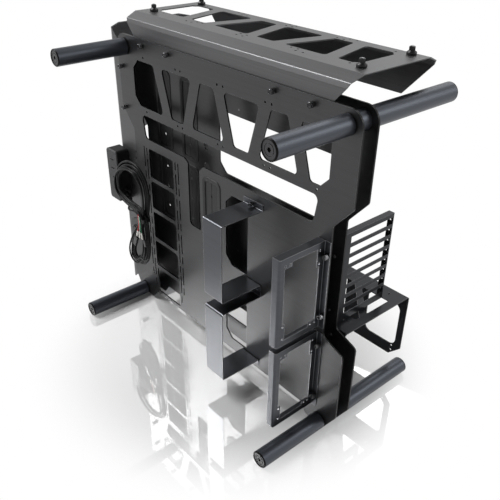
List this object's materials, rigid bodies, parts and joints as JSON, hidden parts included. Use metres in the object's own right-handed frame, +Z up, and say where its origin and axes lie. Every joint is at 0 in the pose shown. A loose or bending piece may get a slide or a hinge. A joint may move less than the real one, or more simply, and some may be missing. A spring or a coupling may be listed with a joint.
{
  "type": "open air test bench",
  "caption": "Open frame for testing a computer: upright slotted plates on long corner bars, folded radiator trays on two edges, power supply straps and frames, and a card bracket on a shelf.",
  "frame": {"origin": "on the floor, under the middle of the bench without its leads", "axes": "+Z up, +Y from the power supply side to the board side, +X to the right as seen from the power supply side"},
  "size_m": [0.6934, 0.3894, 0.655],
  "materials": {
    "plate": "brushed, black anodised",
    "tray": "folded sheet, black anodised",
    "bracket": "folded sheet, satin black",
    "bar": "satin dark grey, turned",
    "cap": "satin grey",
    "rod": "zinc plated",
    "knob": "matt black with a steel tip",
    "thumb_screw": "black, knurled",
    "screw": "black oxide",
    "standoff": "plain brass",
    "grommet": "black rubber",
    "port_box": "fine texture",
    "socket": "nickel plated",
    "jack": "black",
    "lead": "black sheath",
    "thin_lead": "mixed colours",
    "connector": "plain grey"
  },
  "bodies": {
    "root": {"front_plate": "plate", "rear_plate": "plate", "top_tray": "tray", "side_tray": "tray", "top_tray_knobs": "knob", "side_tray_knobs": "knob", "tray_thumb_screws": "thumb_screw", "front_handle_top_left": "bar", "rear_handle_top_left": "bar", "front_cap_top_left": "cap", "rear_cap_top_left": "cap", "spacer_top_left": "bar", "tie_rod_top_left": "rod", "front_handle_top_right": "bar", "rear_handle_top_right": "bar", "front_cap_top_right": "cap", "rear_cap_top_right": "cap", "spacer_top_right": "bar", "tie_rod_top_right": "rod", "front_handle_bottom_left": "bar", "rear_handle_bottom_left": "bar", "front_cap_bottom_left": "cap", "rear_cap_bottom_left": "cap", "spacer_bottom_left": "bar", "tie_rod_bottom_left": "rod", "front_handle_bottom_right": "bar", "rear_handle_bottom_right": "bar", "front_cap_bottom_right": "cap", "rear_cap_bottom_right": "cap", "spacer_bottom_right": "bar", "tie_rod_bottom_right": "rod", "front_grommet": "grommet", "rear_grommet_lower": "grommet", "rear_grommet_upper": "grommet", "psu_strap_lower": "bracket", "psu_frame_lower": "bracket", "psu_strap_upper": "bracket", "psu_frame_upper": "bracket", "psu_strap_screws": "thumb_screw", "psu_frame_screws": "thumb_screw", "card_bracket": "bracket", "card_shelf": "bracket", "card_screws": "screw", "board_standoffs": "standoff", "port_box_body": "port_box", "port_box_cover": "port_box", "port_box_sockets": "socket", "port_box_jacks": "jack", "lead_hank": "lead", "lead_tie": "lead", "usb_lead_start": "lead", "usb_lead_tail": "lead", "usb_lead_plug": "connector", "audio_lead_start": "lead", "audio_lead_tail": "lead", "audio_lead_plug": "connector", "switch_leads": "thin_lead", "switch_plugs": "connector"}
  },
  "joints": []
}
